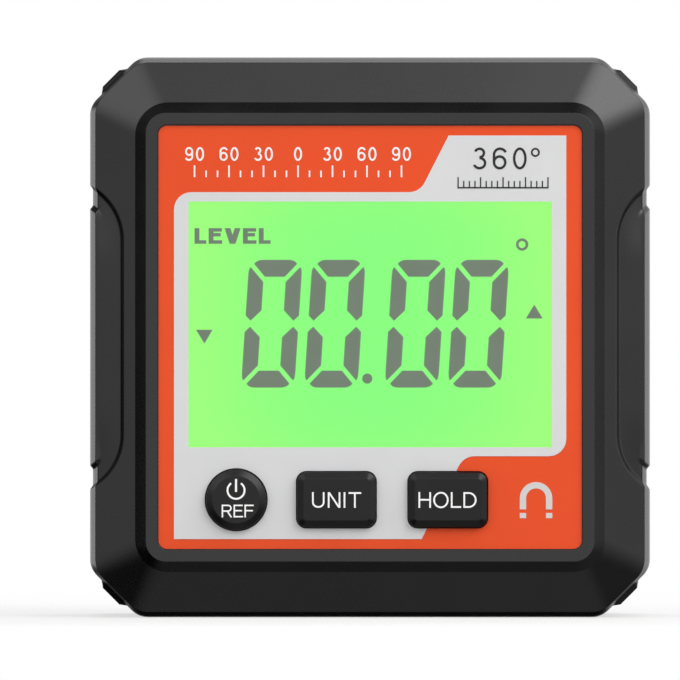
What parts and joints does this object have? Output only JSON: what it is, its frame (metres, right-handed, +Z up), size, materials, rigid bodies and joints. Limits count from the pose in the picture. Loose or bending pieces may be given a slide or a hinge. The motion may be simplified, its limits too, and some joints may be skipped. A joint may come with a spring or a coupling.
{
  "type": "digital angle gauge",
  "caption": "Square digital angle gauge: bevelled black case with side grips, backlit display, push buttons, magnetic base and a battery door at the back.",
  "frame": {"origin": "middle of the flat base, on the plane it stands on", "axes": "+X to the right of the display, +Y from the display into the depth, +Z up from the base"},
  "size_m": [0.06, 0.0309, 0.06],
  "materials": {
    "case_black": "fine satin texture",
    "button_black": "smooth satin",
    "label_orange": "printed film, satin",
    "label_grey": "printed ink, satin",
    "window_clear": "clear, polished",
    "lcd_green": "lit from behind",
    "lcd_dark": "darkened crystal",
    "holder_white": "moulded",
    "guide_clear": "clear moulding",
    "diode_resin": "resin",
    "strip_rubber": "matt",
    "board_green": "solder mask",
    "chip_black": "moulded resin",
    "component_tan": "matt",
    "switch_black": "moulded",
    "plunger_grey": "moulded",
    "cell_jacket": "printed jacket",
    "contact_steel": "nickel plated",
    "lead_red": "insulated wire",
    "lead_black": "insulated wire",
    "magnet_nickel": "nickel plated",
    "screw_steel": "blackened"
  },
  "bodies": {
    "case": {"front_housing": "case_black", "rear_cover": "case_black", "front_label": "label_orange", "label_field": "label_grey", "display_window": "window_clear", "lcd_panel": "lcd_green", "lcd_segments": "lcd_dark", "lcd_holder": "holder_white", "light_guide": "guide_clear", "backlight_diodes": "diode_resin", "connector_strip": "strip_rubber", "main_board": "board_green", "tilt_sensor": "chip_black", "controller_chip": "chip_black", "board_components": "component_tan", "power_switch": "switch_black", "unit_switch": "switch_black", "hold_switch": "switch_black", "upper_cell": "cell_jacket", "lower_cell": "cell_jacket", "contact_bridge": "contact_steel", "contact_positive": "contact_steel", "contact_negative": "contact_steel", "upper_spring": "contact_steel", "lower_spring": "contact_steel", "positive_lead": "lead_red", "negative_lead": "lead_black", "base_magnets": "magnet_nickel", "case_screws": "screw_steel", "board_screws": "screw_steel"},
    "power_key": {"power_button": "button_black", "power_plunger": "plunger_grey"},
    "unit_key": {"unit_button": "button_black", "unit_plunger": "plunger_grey"},
    "hold_key": {"hold_button": "button_black", "hold_plunger": "plunger_grey"},
    "door": {"battery_door": "case_black"}
  },
  "joints": [
    {"name": "power_key_press", "type": "slide", "parent": "case", "child": "power_key", "axis": [0, 1, 0], "range_m": [0, 0.0005], "stiffness_N_per_m": 800, "springref_m": -0.001},
    {"name": "unit_key_press", "type": "slide", "parent": "case", "child": "unit_key", "axis": [0, 1, 0], "range_m": [0, 0.0005], "stiffness_N_per_m": 800, "springref_m": -0.001},
    {"name": "hold_key_press", "type": "slide", "parent": "case", "child": "hold_key", "axis": [0, 1, 0], "range_m": [0, 0.0005], "stiffness_N_per_m": 800, "springref_m": -0.001},
    {"name": "door_swing", "type": "hinge", "parent": "case", "child": "door", "pos_m": [0, 0.014, 0.0191], "axis": [-1, 0, 0], "range_deg": [0, 60]}
  ]
}
